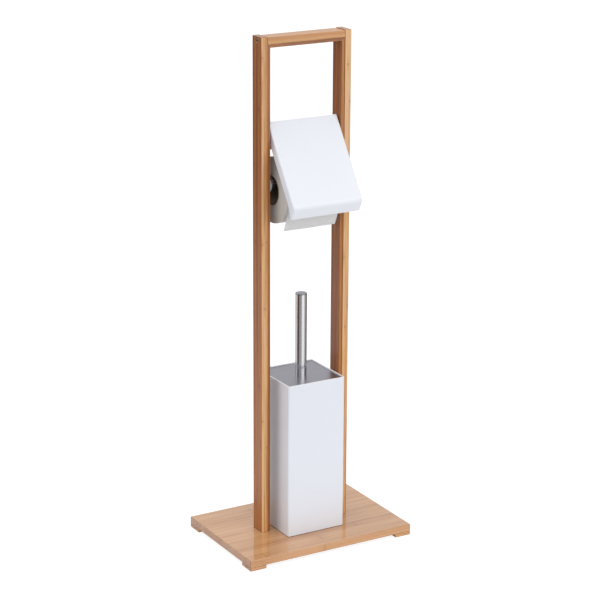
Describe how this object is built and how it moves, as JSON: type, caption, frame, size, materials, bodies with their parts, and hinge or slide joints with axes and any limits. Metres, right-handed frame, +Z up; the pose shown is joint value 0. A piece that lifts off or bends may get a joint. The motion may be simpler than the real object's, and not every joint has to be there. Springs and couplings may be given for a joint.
{
  "type": "toilet roll and brush stand",
  "caption": "Tall bamboo portal stand on a low board, with a spindle for a paper roll, a hinged metal cover over it, and a square canister holding a lidded toilet brush.",
  "frame": {"origin": "middle of the stand's footprint, on the floor", "axes": "+Z up along the posts, +X to the right seen from the front, front faces -Y"},
  "size_m": [0.29, 0.2, 0.8016],
  "materials": {
    "bamboo_board": "lacquered",
    "bamboo_lath": "lacquered",
    "bamboo_liner": "lacquered",
    "dowel": "bare",
    "screw": "zinc plated",
    "white_metal": "satin powder coat",
    "steel": "brushed",
    "cap_steel": "polished",
    "spindle_steel": "polished",
    "grey_plastic": "gloss",
    "nylon": "matt",
    "white_plastic": "satin",
    "bristle": "matt",
    "tissue": "embossed",
    "core_board": "bare"
  },
  "bodies": {
    "stand": {"base_board": "bamboo_board", "foot_front_left": "bamboo_board", "foot_front_right": "bamboo_board", "foot_back_left": "bamboo_board", "foot_back_right": "bamboo_board", "foot_screws": "screw", "base_screws": "screw", "left_post": "bamboo_lath", "right_post": "bamboo_lath", "top_rail": "bamboo_lath", "rail_screws": "screw", "left_liner": "bamboo_liner", "right_liner": "bamboo_liner", "top_liner": "bamboo_liner", "cross_bar": "bamboo_liner", "bar_dowels": "dowel", "hinge_pins": "screw", "hinge_washers": "nylon", "paper_tail": "tissue"},
    "cover": {"cover": "white_metal"},
    "spindle": {"spindle_sleeve": "spindle_steel", "spindle_end_left": "grey_plastic", "spindle_spring": "screw"},
    "plunger": {"spindle_plunger": "spindle_steel", "spindle_end_right": "grey_plastic", "spring_seat": "grey_plastic"},
    "roll": {"roll_core": "core_board", "paper_roll": "tissue"},
    "canister": {"canister": "white_metal", "lid_seat": "white_metal", "inner_cup": "white_plastic"},
    "brush": {"lid": "steel", "handle_tube": "steel", "handle_cap": "cap_steel", "handle_insert": "nylon", "brush_stem": "steel", "lid_nut": "screw", "brush_hub": "white_plastic", "bristles": "bristle"}
  },
  "joints": [
    {"name": "cover_hinge", "type": "hinge", "parent": "stand", "child": "cover", "pos_m": [0, 0.00019, 0.66067], "axis": [-1, 0, 0], "range_deg": [0, 130]},
    {"name": "spindle_spin", "type": "hinge", "parent": "stand", "child": "spindle", "pos_m": [0, 0, 0.5754], "axis": [1, 0, 0], "continuous": true},
    {"name": "plunger_slide", "type": "slide", "parent": "spindle", "child": "plunger", "axis": [-1, 0, 0], "range_m": [0, 0.0065], "stiffness_N_per_m": 250, "springref_m": -0.012, "deforming": ["spindle_spring"]},
    {"name": "roll_spin", "type": "hinge", "parent": "stand", "child": "roll", "pos_m": [0, 0, 0.5662], "axis": [1, 0, 0], "continuous": true},
    {"name": "canister_slide", "type": "slide", "parent": "stand", "child": "canister", "axis": [0, -1, 0], "range_m": [0, 0.15]},
    {"name": "brush_lift", "type": "slide", "parent": "canister", "child": "brush", "axis": [0, 0, 1], "range_m": [0, 0.115]}
  ]
}
